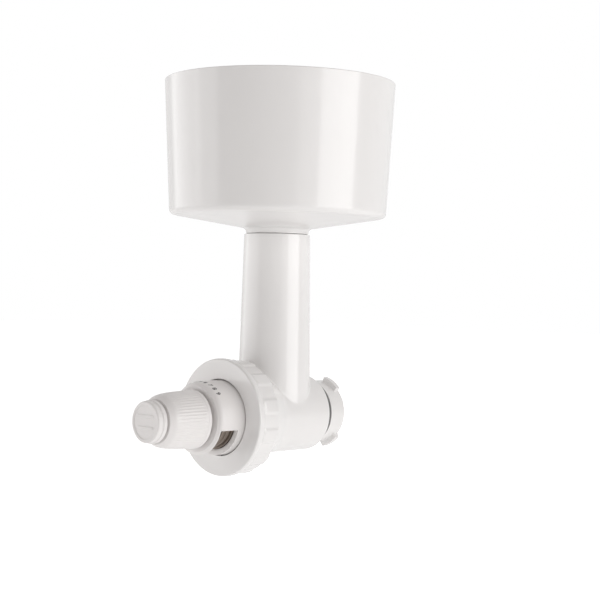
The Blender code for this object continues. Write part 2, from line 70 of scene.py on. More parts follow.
# %% [markdown]
# ## Points on a turned piece
#
# Nearly every piece here is round about one of two axes, so it could be made with Blender's
# Screw modifier. A formula on a grid is used instead, because the radius may then depend on the
# angle too: ribs, threads, flutes and bayonet lugs become small sums added to the radius, and
# the result is clean rows of quads.

# %% Two ways to place a radius, an angle and a distance
def on_drive_axis(radius, angle, along):
    """x = r sin a, y = -along, z = r cos a: the angle runs from the top towards +X."""
    x, y, z = radius * np.sin(angle), -along + 0 * angle, radius * np.cos(angle)
    return np.stack(np.broadcast_arrays(x, y, z), axis=-1)


def on_throat_axis(radius, angle, height):
    """x = r sin a, y = -throat - r cos a, z = height: angle 0 looks to the front."""
    x, y, z = radius * np.sin(angle), -THROAT - radius * np.cos(angle), height + 0 * angle
    return np.stack(np.broadcast_arrays(x, y, z), axis=-1)


# %% [markdown]
# ## Outlines with moulded corners
#
# A moulding has no sharp corner: the tool leaves a small round, and that round is what catches
# the light. A Bevel modifier could add it later, but then each corner gets the same width. Here
# every corner of an outline states its own round, in millimetres.

# %% Round off the corners of an outline
def rounded(corners, closed=True, steps=5):
    """Outline through (radius, along, round) rows.

    At a corner p with unit directions d in and e out and a turn of t, the round begins at
    p - d r tan(t/2). Its points are that start + d r sin(ut) + n r (1 - cos(ut)), u from 0 to
    1, where n is d turned a quarter towards e. One point more stands before the round and one
    after it, at r/3 or a third of the straight run, whichever is less. They keep the flats
    flat when the piece is shaded smooth.
    """
    rows = np.array(corners, float)
    point, size = rows[:, :2], rows[:, 2:]
    before = point - np.roll(point, 1, axis=0)
    after = np.roll(point, -1, axis=0) - point
    if not closed:
        before[0], after[-1] = after[0], before[-1]
    run_before = np.linalg.norm(before, axis=1, keepdims=True)
    run_after = np.linalg.norm(after, axis=1, keepdims=True)
    before, after = before / run_before, after / run_after
    cross = before[:, :1] * after[:, 1:] - before[:, 1:] * after[:, :1]
    turn = np.arctan2(cross, (before * after).sum(axis=1, keepdims=True))
    side = np.sign(turn) * np.stack([-before[:, 1], before[:, 0]], axis=1)
    swept = np.abs(turn) * np.linspace(0, 1, steps + 1)
    reach = size * np.tan(np.abs(turn) / 2)
    start = point - before * reach
    arc = (start[:, None] + (size * np.sin(swept))[..., None] * before[:, None]
           + (size * (1 - np.cos(swept)))[..., None] * side[:, None])
    straight_before = run_before - reach - np.roll(reach, 1, axis=0)
    straight_after = run_after - reach - np.roll(reach, -1, axis=0)
    if min(straight_before.min(), straight_after.min()) < -WELD:
        print("these rounds overlap:", corners)
    lead = (point - before * (reach + np.minimum(size, straight_before) / 3))[:, None]
    trail = (point + after * (reach + np.minimum(size, straight_after) / 3))[:, None]
    outline = np.concatenate([lead, arc, trail], axis=1).reshape(-1, 2)
    step = np.linalg.norm(outline - np.roll(outline, 1, axis=0), axis=1)
    if not closed:
        step[0] = 1.0          # an open outline keeps its first point
    return outline[step > WELD]


# %% Add rows where a pattern needs them
def divided(outline, spacing, closed=True):
    """The outline with each stretch cut into equal steps no longer than the spacing."""
    gap = np.roll(outline, -1, axis=0) - outline
    if not closed:
        gap[-1] = 0
    parts = np.maximum(1, np.ceil(np.linalg.norm(gap, axis=1) / spacing)).astype(int)
    count = np.arange(parts.sum()) - np.repeat(np.cumsum(parts) - parts, parts)
    return (np.repeat(outline, parts, axis=0)
            + np.repeat(gap / parts[:, None], parts, axis=0) * count[:, None])


# %% Revolve an outline and number the faces
def turn(outline, sides, place=on_drive_axis, shape=None):
    """Grid of points: rows follow the outline, columns are equal angles from 0 to a full turn.

    shape takes (radius, along, angle) and gives back the radius and along after ribs, threads or
    flutes have been added.
    """
    angle = np.linspace(0, tau, sides, endpoint=False)[None, :]
    radius, along = outline[:, :1] + 0 * angle, outline[:, 1:] + 0 * angle
    if shape:
        radius, along = shape(radius, along, angle)
    return place(radius, angle, along)


def quads(rows, columns, loop=True):
    """Corner numbers of a grid's quads. Columns always close; rows close only on a loop."""
    row = np.arange(rows if loop else rows - 1)[:, None]
    column = np.arange(columns)[None, :]
    below, right = (row + 1) % rows, (column + 1) % columns
    corners = [row * columns + column, row * columns + right,
               below * columns + right, below * columns + column]
    return np.stack(corners, axis=-1).reshape(-1, 4)


# %% [markdown]
# ## From points to a piece that rides on its body
#
# A mesh is only numbers until it is told which part of the real object it is. Each finished piece
# stands for one node of the frame, rides on that node's body, and names the finish it is made in,
# so it moves with the right joint and can be recoloured later.

# %% Build a mesh, close it and hang it on the frame
BODY_OF = {node: body for body, nodes in frame["record"]["behaviour"]["bodies"].items()
           for node in nodes}
SHARP = radians(38)
made = {}


def placed(name, data):
    """A new object at the origin, in the scene."""
    thing = bpy.data.objects.new(name, data)
    bpy.context.scene.collection.objects.link(thing)
    return thing


def skin(name, shells):
    """One closed mesh from (points, faces) shells: doubles merged, faces turned outwards."""
    offset, points, faces = 0, [], []
    for shell_points, shell_faces in shells:
        flat = np.asarray(shell_points).reshape(-1, 3) * MM
        points.append(flat)
        faces.append(shell_faces + offset)
        offset += len(flat)
    mesh = bpy.data.meshes.new(name)
    mesh.from_pydata(np.concatenate(points).tolist(), [], np.concatenate(faces).tolist())
    closing = bmesh.new()
    closing.from_mesh(mesh)
    bmesh.ops.remove_doubles(closing, verts=closing.verts, dist=WELD * MM)
    bmesh.ops.recalc_face_normals(closing, faces=closing.faces)
    closing.to_mesh(mesh)
    closing.free()
    mesh.shade_smooth()
    mesh.set_sharp_from_angle(angle=SHARP)
    return placed(name, mesh)


def hang(node, made_by, material, shells):
    """The finished piece that stands for a node, named for it and for how it was made."""
    piece = skin(f"{node}_{made_by}", shells)
    piece.data.materials.append(material)
    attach(piece, BODY_OF[node])
    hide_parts(node)
    made[piece.name] = len(piece.data.polygons)
    print(f"{piece.name}: {len(piece.data.polygons)} faces")
    return piece


def turned(node, made_by, material, outline, sides, place=on_drive_axis, shape=None, extra=()):
    """A piece turned from one outline, with any extra shells on it."""
    points = turn(outline, sides, place, shape)
    hang(node, made_by, material, [(points, quads(len(outline), sides)), *extra])


# %% [markdown]
# ## Materials written as sums
#
# A node tree can be clicked together, but a formula is easier to read and to change. One small
# class stands for a node's output, so that `1 - mask * 0.2` adds the two Math nodes it needs.
# Colours are mixed with Mix nodes, because a Math node would turn them grey.

# %% A node's output that takes part in sums
class Output:
    """A socket with arithmetic; every other node comes from the add method."""

    def __init__(self, tree, socket):
        self.tree = tree
        self.socket = socket

    def add(self, kind, settings=None, sockets=None, output=0):
        """A new node: its settings first, then values or links for its sockets."""
        node = self.tree.nodes.new(kind)
        for name, value in (settings or {}).items():
            setattr(node, name, value)
        for name, value in (sockets or {}).items():
            if isinstance(value, Output):
                self.tree.links.new(value.socket, node.inputs[name])
            else:
                node.inputs[name].default_value = value
        return Output(self.tree, node.outputs[output])

    def sum(self, operation, first, second):
        return self.add("ShaderNodeMath", {"operation": operation}, {0: first, 1: second})

    def __add__(self, other):
        return self.sum("ADD", self, other)

    def __sub__(self, other):
        return self.sum("SUBTRACT", self, other)

    def __rsub__(self, other):
        return self.sum("SUBTRACT", other, self)

    def __mul__(self, other):
        return self.sum("MULTIPLY", self, other)

    __radd__ = __add__
    __rmul__ = __mul__


# %% Patterns that the finishes share
def noise(place, scale, detail=2.0, rough=0.5):
    """Cloudy values round 0.5; scale is in clouds per metre."""
    return place.add("ShaderNodeTexNoise", {}, {
        "Vector": place, "Scale": scale, "Detail": detail, "Roughness": rough})


def stretched(place, x, y, z):
    """Object coordinates scaled unequally, which draws a cloud out into streaks."""
    return place.add("ShaderNodeMapping", {}, {"Vector": place, "Scale": (x, y, z)})


def between(mask, dark, light):
    """The colour dark where the mask is 0, light where it is 1; either may be a node's output."""
    dark, light = (c if isinstance(c, Output) else (*c, 1.0) for c in (dark, light))
    return mask.add("ShaderNodeMix", {"data_type": "RGBA"}, {
        "Factor": mask, "A": dark, "B": light}, output=2)


def raised(height, depth):
    """A bump from a height pattern; depth is in metres."""
    return height.add("ShaderNodeBump", {}, {
        "Strength": 1.0, "Distance": depth, "Height": height})


# %% One recipe for every finish
def finish(name, slot, tints, sheen, depth, patterns, **fixed):
    """A Principled material from three patterns of the place on the piece.

    The first mixes the two tints. The second spreads the roughness: sheen is the roughness and
    how far it varies. The third is the height of a bump, whose depth is in metres.
    """
    material = bpy.data.materials.new(name)
    material.use_nodes = True
    tree = material.node_tree
    shader = tree.nodes["Principled BSDF"]
    coordinates = tree.nodes.new("ShaderNodeTexCoord")
    cloud, haze, height = patterns(Output(tree, coordinates.outputs["Object"]))
    roughness, spread = sheen
    outputs = {"Base Color": between(cloud, *tints), "Normal": raised(height, depth),
               "Roughness": haze * spread + (roughness - spread / 2)}
    for socket, output in outputs.items():
        tree.links.new(output.socket, shader.inputs[socket])
    for socket, value in fixed.items():
        shader.inputs[socket.replace("_", " ")].default_value = value
    material["slot"] = slot
    return material


# %% [markdown]
# ## The white mouldings
#
# The mill is moulded in a glossy white plastic. A polished tool gives a mirror-like skin, yet
# the skin is never perfect: it dips by a few hundredths of a millimetre where the wall cools,
# it clouds a little, and handling leaves a faint haze. The hopper and housing get the full gloss;
# the grinding head and the knob come from a finer-grained tool and shine less.

# %% Glossy and satin white plastic
def moulded(place):
    """Slow clouds, handling haze, and dips where the wall cooled with a trace of grain."""
    dips = noise(place, 26.0, 1.0) + noise(place, 900.0, 2.0) * 0.03
    return noise(place, 38.0, 3.0), noise(place, 90.0, 4.0, 0.65), dips


def white(name, tint, sheen, depth, **fixed):
    """A white that clouds to 3.5 percent less than its tint."""
    dark = [value * 0.965 for value in tint]
    return finish(name, "white_plastic", (dark, tint), sheen, depth, moulded, IOR=1.5, **fixed)


gloss_white = white("gloss_white", (0.845, 0.832, 0.822), (0.20, 0.08), 0.00035,
                    Coat_Weight=0.5, Coat_Roughness=0.12)
satin_white = white("satin_white", (0.835, 0.812, 0.800), (0.34, 0.10), 0.00025,
                    Coat_Weight=0.15, Coat_Roughness=0.2)
print("white finishes:", gloss_white.name, "and", satin_white.name)

# %% [markdown]
# ## Other plastics and the rubber
#
# The feed worm is a tougher ivory plastic, the coupling is black and fibre-filled, the thrust
# washer is acetal, which looks waxy, and the seals are grey rubber with a dusty skin. Each could
# have a node tree of its own. One recipe serves them all, because they differ only in colour,
# in the size of their speckle and in their sheen.

# %% Ivory, black, acetal, rubber and printing ink
def speckled(name, slot, tints, scale, sheen, depth, refraction=1.5):
    """Specks, scale of them to the metre, with a coarser haze and a finer grain."""
    def patterns(place):
        return (noise(place, scale, 4.0, 0.6), noise(place, scale * 0.6, 3.0),
                noise(place, scale * 4.0))

    return finish(name, slot, tints, sheen, depth, patterns, IOR=refraction)


ivory = speckled("ivory_plastic", "auger_plastic", ((0.66, 0.64, 0.60), (0.76, 0.75, 0.71)),
                 220.0, (0.36, 0.12), 0.00006)
black = speckled("black_plastic", "coupling_plastic",
                 ((0.035, 0.035, 0.038), (0.06, 0.06, 0.064)), 900.0, (0.46, 0.16), 0.00008)
waxy = speckled("waxy_acetal", "acetal", ((0.72, 0.71, 0.68), (0.82, 0.81, 0.78)),
                160.0, (0.42, 0.1), 0.00004, refraction=1.48)
rubber = speckled("seal_rubber", "grey_rubber", ((0.11, 0.11, 0.115), (0.19, 0.19, 0.195)),
                  1300.0, (0.72, 0.16), 0.00005)
ink = speckled("printing_ink", "coupling_plastic",
               ((0.012, 0.012, 0.012), (0.03, 0.03, 0.03)), 1800.0, (0.5, 0.1), 0.00001)

# %% [markdown]
# ## Metals
#
# A turned metal face is a record of the tool: fine rings round the axis. On a grid of Object
# coordinates those rings come from a cloud that is squeezed along the axis, which needs no UV
# map and no picture of scratches. The burrs are cast and ground, so they are darker and carry a
# brown bloom; the springs are drawn wire.

# %% Steel, brass and bronze
def metal(name, slot, tints, streaks, sheen, depth):
    """Rings round the axis, streaks of them to the metre, under a slow bloom."""
    def patterns(place):
        rings = noise(stretched(place, 0.12, 1.0, 0.12), streaks, 3.0, 0.6)
        return rings * 0.6 + noise(place, 120.0, 4.0) * 0.4, rings, rings

    return finish(name, slot, tints, sheen, depth, patterns, Metallic=1.0)


burr_steel = metal("ground_burr_steel", "burr_steel", ((0.20, 0.165, 0.14), (0.44, 0.385, 0.34)),
                   1500.0, (0.42, 0.24), 0.00012)
bright_steel = metal("turned_steel", "bright_steel", ((0.50, 0.50, 0.51), (0.68, 0.68, 0.69)),
                     2200.0, (0.26, 0.16), 0.00004)
wire = metal("drawn_wire", "spring_steel", ((0.30, 0.30, 0.32), (0.50, 0.50, 0.52)),
             1800.0, (0.32, 0.2), 0.00003)
brass = metal("turned_brass", "brass", ((0.60, 0.42, 0.18), (0.78, 0.58, 0.29)),
              2000.0, (0.28, 0.18), 0.00004)
bronze = metal("sintered_bronze", "bronze", ((0.40, 0.25, 0.13), (0.62, 0.42, 0.25)),
               700.0, (0.44, 0.2), 0.00010)
print(len(bpy.data.materials), "materials in the file")

# %% [markdown]
# ## The hopper
#
# A bucket with a shallow funnel for a floor and a spigot that plugs into the throat. It could be
# cut from a cylinder with a Solidify modifier for its wall; one closed outline is better, because
# the wall, the floor, the rim and the groove for the seal then have their true thickness.

# %% Hopper
HOPPER = rounded([
    (12.2, 84.5, 0.5), (15.6, 84.5, 0.9), (15.6, 88.5, 0.2), (13.6, 88.5, 0.2),
    (13.6, 91.3, 0.2), (15.6, 91.3, 0.2), (15.6, 99.8, 0.1), (17.3, 99.8, 0.25),
    (17.3, 102.65, 2.8), (60.05, 109.7, 3.0), (63.97, 183.6, 0.45), (61.8, 183.6, 0.45),
    (57.9, 111.6, 3.0), (15.6, 105.0, 2.5), (12.2, 101.2, 1.0)])
turned("hopper", "moulding", gloss_white, divided(HOPPER, 3), 192, on_throat_axis)

# %% [markdown]
# ## The housing: two tubes that flow into each other
#
# Throat and barrel are one moulding. A Boolean union would join them, but it leaves a ragged,
# sharp seam. Here the barrel's grid has an opening left in it, and the throat's grid ends in a
# small round whose last row is the edge of that opening, both outside and in the bore. Every
# face is a quad and the seam is as soft as the toolmaker's.

# %% How wide the barrel and the throat are
BARREL_LINE = rounded([(21.0, 0.0, 0.0), (21.0, 34.0, 14.0), (26.4, 47.6, 5.0),
                       (26.4, 57.5, 0.0)], closed=False, steps=12)
CHAMBER_RADIUS = 16.5


def barrel_radius(along):
    """Radius of the barrel's outside at a distance in front of the seat."""
    return np.interp(along, BARREL_LINE[:, 1], BARREL_LINE[:, 0])


def throat_outside(height):
    """The throat leans in a little as it rises, so that it leaves the tool."""
    return np.interp(height, [18, 98], [19.9, 18.3])


def throat_bore(height):
    """The bore narrows towards the chamber."""
    return np.interp(height, [14, 60], [10.4, 14.0])


def chamber_radius(along):
    """The worm's chamber is a plain bore."""
    return CHAMBER_RADIUS + 0 * along


print("throat:", [round(float(2 * throat_outside(height)), 1) for height in (18, 98)],
      "mm across at its foot and top")


# %% Leave openings in a grid
def stretch(radius, along):
    """Rows of an outline at a given radius, one number or one for each distance along."""
    return np.stack(np.broadcast_arrays(radius, along), axis=1)


def edge_of_opening(rows, columns, sides):
    """Corner numbers round a rectangle of a grid: front, right side, rear, left side."""
    front, rear = rows[0], rows[-1]
    return np.concatenate([
        front * sides + columns[:-1] % sides, rows[:-1] * sides + columns[-1] % sides,
        rear * sides + columns[:0:-1] % sides, rows[:0:-1] * sides + columns[0] % sides])


def without_opening(faces, rows, columns, sides):
    """The grid's quads, less those inside the rectangle."""
    row, column = faces[:, 0] // sides, faces[:, 0] % sides
    low, high = min(rows[0], rows[-1]), max(rows[0], rows[-1])
    inside = (row >= low) & (row < high) & (((column - columns[0]) % sides) < len(columns) - 1)
    return faces[~inside]


def with_openings(rows, sides, openings, columns):
    """A turned grid's quads less those of the openings, and the edge of each opening."""
    faces = quads(rows, sides)
    for opening in openings:
        faces = without_opening(faces, opening, columns, sides)
    return faces, [edge_of_opening(opening, columns, sides) for opening in openings]


# %% From the opening up to the throat's wall
FLOW_ROWS = 7                  # rows on the barrel, and as many round the fillet


def foot_of_throat(angle, tube, drum):
    """Height at which the throat's wall meets the barrel's: z = sqrt(R^2 - (r sin a)^2)."""
    height = np.full_like(angle, 15)
    for _ in range(6):
        radius = tube(height)
        along = THROAT + radius * np.cos(angle)
        height = np.sqrt(drum(along) ** 2 - (radius * np.sin(angle)) ** 2)
    return height


def flow(edge, angle, tube, drum, fillet, spread):
    """Rows of points from the edge of an opening in the barrel up to the throat's plain wall.

    On the barrel a point is given by its angle round the drive axis and its distance along, and
    the rows step evenly from the edge to the foot of the throat. The last part is a Bezier
    curve, (1-u)^2 A + 2u(1-u) F + u^2 B, from the barrel over the foot F to the wall.
    """
    height = foot_of_throat(angle, tube, drum)
    radius = tube(height)
    side, front = radius * np.sin(angle), THROAT + radius * np.cos(angle)
    foot = np.stack([np.arctan2(side, height), front])
    rim = np.stack([np.arctan2(edge[:, 0], edge[:, 2]), -edge[:, 1]])

    def on_drum(share):
        turn_angle, along = foot + (rim - foot) * share
        return on_drive_axis(drum(along), turn_angle, along)

    reach = spread / np.maximum(np.linalg.norm(on_drum(1.0) - on_drum(0.0), axis=1), 1)
    reach = np.minimum(reach, 0.6)
    wall = height + fillet
    start, corner = on_drum(reach), on_drum(0.0)
    wall_row = on_throat_axis(tube(wall), angle, wall)
    rows = [on_drum(1 - (1 - reach) * step) for step in np.linspace(0, 1, FLOW_ROWS)[:-1]]
    for u in np.linspace(0, 1, FLOW_ROWS):
        rows.append((1 - u) ** 2 * start + 2 * u * (1 - u) * corner + u * u * wall_row)
    return np.array(rows), wall


# %% Thread at the front and bayonet lugs on the hub
def ramp(value, width):
    """0 to 1 as the value climbs from 0 to the width, flat outside."""
    return np.clip(value / width, 0, 1)


def thread(along, angle, start, end, pitch, depth):
    """Right-handed ridge: depth times a flat-topped wave of along / pitch + angle / tau."""
    phase = ((along - start) / pitch + angle / tau + 0.5) % 1.0
    wave = np.clip(1.6 - 4.6 * np.abs(phase - 0.5), 0, 1)
    return depth * wave * ramp(along - start + pitch / 2, 1) * ramp(end - along, 1)


def hub_and_thread(radius, along, angle):
    """Three lugs, each 36 degrees wide, on the hub, and the thread for the ring nut."""
    round_lug = np.abs((angle - pi / 6 + tau / 6) % (tau / 3) - tau / 6)
    lug = (ramp(radians(18) - round_lug, radians(2)) * ramp(along + 15, 0.5)
           * ramp(-11 - along, 0.5) * (radius > 16.9))
    ridge = thread(along, angle, 51.5, 56.9, 4, 1.25)
    return radius + 2.7 * lug + ridge * (radius > 26), along


# %% Barrel of the housing, with an opening outside and one in the chamber
BARREL_SIDES = 180
THROAT_STEPS = 30              # rows along the opening
THROAT_COLUMNS = 42            # columns each side of the top, 2 degrees apart
OPENING_FRONT, OPENING_REAR = 47.4, 1.75
hub = rounded([(13.2, 4.0, 0.0), (13.2, -16.0, 0.3), (17.5, -16.0, 0.8), (17.5, -5.0, 0.2),
               (15.8, -5.0, 0.2), (15.8, -2.6, 0.2), (17.5, -2.6, 0.2), (17.5, 0.0, 0.2),
               (21.0, 0.0, 0.9), (21.0, 1.7, 0.0)], closed=False)
outside = np.linspace(OPENING_REAR, OPENING_FRONT, THROAT_STEPS + 1)
nose = rounded([(26.4, 47.7, 0.0), (26.4, 57.5, 0.5), (22.8, 57.5, 0.4), (22.8, 53.6, 0.2),
                (16.5, 53.6, 0.3), (16.5, 52.6, 0.0)], closed=False)
inside = np.linspace(52.4, 13.6, THROAT_STEPS + 1)
bearing = rounded([(16.5, 13.5, 0.0), (16.5, 13.0, 0.3), (9.3, 13.0, 0.2), (9.3, 9.5, 0.2),
                   (7.3, 9.5, 0.2), (7.3, 4.0, 0.2), (12.8, 4.0, 0.0)], closed=False)
hub, nose = divided(hub, 0.5, closed=False), divided(nose, 0.3, closed=False)
barrel_outline = np.concatenate([
    hub, stretch(barrel_radius(outside), outside), nose, stretch(CHAMBER_RADIUS, inside),
    bearing])
barrel = turn(barrel_outline, BARREL_SIDES, shape=hub_and_thread)

columns = np.arange(-THROAT_COLUMNS, THROAT_COLUMNS + 1)
outer_rows = len(hub) + np.arange(THROAT_STEPS, -1, -1)
inner_rows = len(hub) + len(outside) + len(nose) + np.arange(THROAT_STEPS + 1)
barrel_faces, edges = with_openings(
    len(barrel_outline), BARREL_SIDES, (outer_rows, inner_rows), columns)
print("barrel:", barrel.shape[:2], "points,", len(barrel_faces), "faces")

# %% Throat of the housing, from the barrel up, over its rim and down its bore
THROAT_TOP, SOCKET_FOOT = 98.1, 81.5
outer_edge, inner_edge = (barrel.reshape(-1, 3)[edge] for edge in edges)
throat_angle = np.arctan2(outer_edge[:, 0], -outer_edge[:, 1] - THROAT)
foot_rows, foot_top = flow(outer_edge, throat_angle, throat_outside, barrel_radius, 1.4, 1.6)
bore_rows, bore_foot = flow(inner_edge, throat_angle, throat_bore, chamber_radius, 0.5, 0.8)
wall_steps, bore_steps = np.linspace(0, 1, 15)[1:, None], np.linspace(0, 1, 12)[:-1, None]
wall_height = foot_top + (THROAT_TOP - foot_top) * wall_steps
wall_rows = on_throat_axis(throat_outside(wall_height), throat_angle, wall_height)
socket = rounded([(18.3, 98.3, 0.0), (18.3, 99.5, 0.4), (16.0, 99.5, 0.5), (16.0, 83.5, 0.3),
                  (14.0, 83.5, 0.4), (14.0, 82.0, 0.0)], closed=False)
socket_rows = on_throat_axis(socket[:, :1], throat_angle, socket[:, 1:])
bore_height = SOCKET_FOOT + (bore_foot - SOCKET_FOOT) * bore_steps
tube_rows = on_throat_axis(throat_bore(bore_height), throat_angle, bore_height)
throat = np.concatenate([foot_rows, wall_rows, socket_rows, tube_rows, bore_rows[::-1]])
throat_faces = quads(len(throat), len(throat_angle), loop=False)
hang("mill_housing", "moulding", gloss_white, [(barrel, barrel_faces), (throat, throat_faces)])

# %% [markdown]
# ## The ring nut
#
# A flat flange that the hand pushes against, and twelve low ribs on the skirt behind it. The
# ribs could be boxes joined on with a Boolean. As a bump on the radius they run smoothly into
# the skirt, with the sloping sides that let them leave the tool.

# %% Ring nut
GRIP_STEP, FIRST_GRIP, GRIP_HEIGHT = radians(30), radians(75.5), 0.6


def grip_ribs(radius, along, angle):
    """Twelve ribs, 17 degrees wide at the foot; inside, a shallow thread for the housing's."""
    off_centre = np.abs((angle - FIRST_GRIP + GRIP_STEP / 2) % GRIP_STEP - GRIP_STEP / 2)
    side = ramp(radians(8.6) - off_centre, radians(3.0))
    rib = side * side * (3 - 2 * side) * ramp(60.9 - along, 1.2)
    outside = (radius > 29.4) & (along < 61.3)
    groove = thread(along, angle, 51.0, 60.5, 4, 0.4)
    bore = np.abs(radius - 28.3) < 0.05
    return radius + GRIP_HEIGHT * rib * outside - groove * bore, along


NUT = rounded([(28.3, 50.0, 0.3), (30.2, 50.0, 0.5), (30.2, 61.0, 0.6), (31.5, 61.9, 0.5),
               (31.5, 65.4, 0.95), (20.5, 65.4, 0.35), (20.5, 62.4, 0.3), (28.3, 62.4, 0.6)])
turned("ring_nut", "moulding", gloss_white, divided(NUT, 0.701), 360, shape=grip_ribs)

# %% [markdown]
# ## The grinding head
#
# A casing with a flange that the ring nut clamps, a wide outlet below for the flour, and a boss
# for the knob. The outlet could be cut with a Boolean. Instead the grid leaves out the quads
# of the window in its outer and in its inner wall, and a strip of quads joins the two edges,
# so the cut keeps clean edges for a Bevel modifier.

# %% Casing with its outlet window
CASING_SIDES = 240
WINDOW_STEPS = 12
BORE = 17.6
window_columns = np.arange(70, 171)          # 105 to 255 degrees from the top
casing_back = rounded([
    (17.6, 67.3, 0.0), (17.6, 53.9, 0.4), (22.4, 53.9, 0.4), (22.4, 58.9, 0.2), (25.9, 58.9, 0.3),
    (25.9, 62.1, 0.3), (20.0, 62.1, 0.2), (19.87, 69.4, 0.0)], closed=False)
casing_front = rounded([
    (19.15, 81.05, 0.0), (18.75, 81.6, 0.5), (17.4, 82.5, 0.5), (12.0, 82.5, 0.3),
    (12.0, 90.0, 0.4), (8.3, 90.0, 0.3), (8.3, 78.0, 0.2), (17.6, 78.0, 0.0)], closed=False)
outer_along = np.linspace(69.5, 81.0, WINDOW_STEPS + 1)
outer_radius = np.interp(outer_along, [69.5, 78.6, 79.8, 80.5, 81.0],
                         [19.87, 19.62, 19.52, 19.38, 19.2])
inner_along = np.linspace(78.0, 69.5, WINDOW_STEPS + 1)
casing_back = divided(casing_back, 1.2, closed=False)
casing_front = divided(casing_front, 0.6, closed=False)
casing_outline = np.concatenate([
    casing_back, stretch(outer_radius, outer_along), casing_front[:-1],
    stretch(BORE, inner_along), [[BORE, 69.3], [16.9, 69.2], [16.9, 67.5]]])
print("window:", (len(window_columns) - 1) * 360 // CASING_SIDES, "degrees wide")


# %% Hollow the casing and cut the window
def hollow_behind_plate(radius, along, angle):
    """Below the window's top, z < -4.9 mm, the plate's back face steps 3 mm forward."""
    low = ramp(-4.9 - radius * np.cos(angle), 0.5)
    plate = (np.abs(along - 78) < 0.05) & (radius < 17.7)
    bore = (radius > 17.55) & (radius < 17.7) & ~plate
    wall = bore & (along > 69.4) & (along < 78.1)
    return radius, along + low * (3 * plate + (along - 69.5) * (3 / 8.5) * wall)


casing = turn(casing_outline, CASING_SIDES, shape=hollow_behind_plate)
outer_rows = len(casing_back) + np.arange(WINDOW_STEPS + 1)
inner_rows = len(casing_back) + len(outer_along) + len(casing_front) - 1 + np.arange(
    WINDOW_STEPS, -1, -1)
casing_faces, (outer_edge, inner_edge) = with_openings(
    len(casing_outline), CASING_SIDES, (outer_rows, inner_rows), window_columns)
reveal = np.stack([outer_edge, np.roll(outer_edge, -1), np.roll(inner_edge, -1), inner_edge],
                  axis=1)
head_casing = hang("head_casing", "moulding", satin_white,
                   [(casing, np.concatenate([casing_faces, reveal]))])
soften = head_casing.modifiers.new("moulded_edges", "BEVEL")
soften.width = 0.22 * MM
soften.segments = 2
soften.limit_method = "ANGLE"
soften.angle_limit = radians(55)
print("window's edges softened by", round(soften.width / MM, 2), "mm")

# %% [markdown]
# ## The burrs
#
# Grain is crushed between a turning cone and a fixed sleeve. Both are cast in hard steel with
# slanting teeth, then ground. One tooth could be modelled and repeated with an Array modifier,
# but the joins would show. Here the teeth are a saw wave of the angle: it climbs slowly and
# drops at once, which is the shape that grips a grain. The wave is twisted along the axis.

# %% Fixed burr
def saw(angle, count, lean=0.75):
    """Rises over the lean part of each tooth and falls over the rest, from 0 to 1."""
    phase = (angle * count / tau) % 1.0
    return np.where(phase < lean, phase / lean, (1 - phase) / (1 - lean))


def sleeve_teeth(radius, along, angle):
    """Teeth cut 0.7 mm into the sleeve's bore, and shallow rings left by the lathe outside."""
    bore = radius < 14.3
    depth = 0.7 * (1 - saw(angle + 0.022 * (along - 54), 36))
    ring = 0.07 * np.sin(tau * along / 0.9) * (radius > 14.9)
    return radius + depth * bore * ramp(along - 54.6, 1) + ring, along


SLEEVE = rounded([
    (12.6, 54.3, 0.2), (16.8, 54.3, 0.1), (17.3, 54.8, 0.1), (17.3, 67.1, 0.1), (16.5, 67.1, 0.1),
    (16.5, 70.5, 0.15), (15.0, 70.5, 0.15), (15.0, 71.5, 0.15), (15.6, 71.5, 0.15),
    (15.6, 73.3, 0.15), (15.1, 73.3, 0.1), (15.1, 75.5, 0.25), (14.05, 75.5, 0.2)])
turned("outer_burr", "ground", burr_steel, divided(SLEEVE, 0.25), 288, shape=sleeve_teeth)


# %% Turning burr, with a hexagonal bore
def hexagonal(radius, angle):
    """What to take off a round of this radius to leave a hexagon: r (1 - cos 30 / cos b)."""
    across = angle % radians(60) - radians(30)
    return radius * (1 - cos(radians(30)) / np.cos(across))


def cone_teeth(radius, along, angle):
    """Twelve deep flutes that feed the grain in, and 36 fine teeth where it is ground."""
    share = ramp(along - 57, 19)
    twist = angle - radians(2.5) * (along - 57)
    outside = (radius > 7.4) & (along > 57.6) & (along < 76)
    coarse = 1.6 * (1 - share) * (1 - saw(twist, 12, 0.8))
    fine = 0.45 * ramp(share - 0.35, 0.3) * (1 - saw(twist, 36, 0.8))
    hexagon = hexagonal(radius, angle) * (radius < 5.1) * (along < 72.6)
    return radius - (coarse + fine) * outside * ramp(along - 57.6, 1) - hexagon, along


CONE = rounded([
    (0.0, 72.5, 0.0), (5.0, 72.5, 0.0), (5.0, 57.0, 0.2), (7.6, 57.0, 0.3), (8.6, 58.2, 0.4),
    (13.1, 75.4, 0.3), (12.7, 76.3, 0.2), (2.7, 76.3, 0.1), (1.4, 75.0, 0.0), (0.0, 75.0, 0.0)],
    closed=False)
turned("inner_burr", "ground", burr_steel,
       divided(CONE, 0.5, closed=False), 288, shape=cone_teeth)

# %% [markdown]
# ## The knob
#
# Fine ribs on a tapering barrel give wet fingers a grip. There are 56 of them. Each is less than
# a fifth of a millimetre deep, but without them the knob would read as a plain cone. A bump map
# could fake them, but it would leave the outline smooth, so they are cut into the mesh. The band
# behind them is smooth and carries a small raised pointer.

# %% Adjusting knob
RIB_COUNT, RIB_DEPTH = 56, 0.17


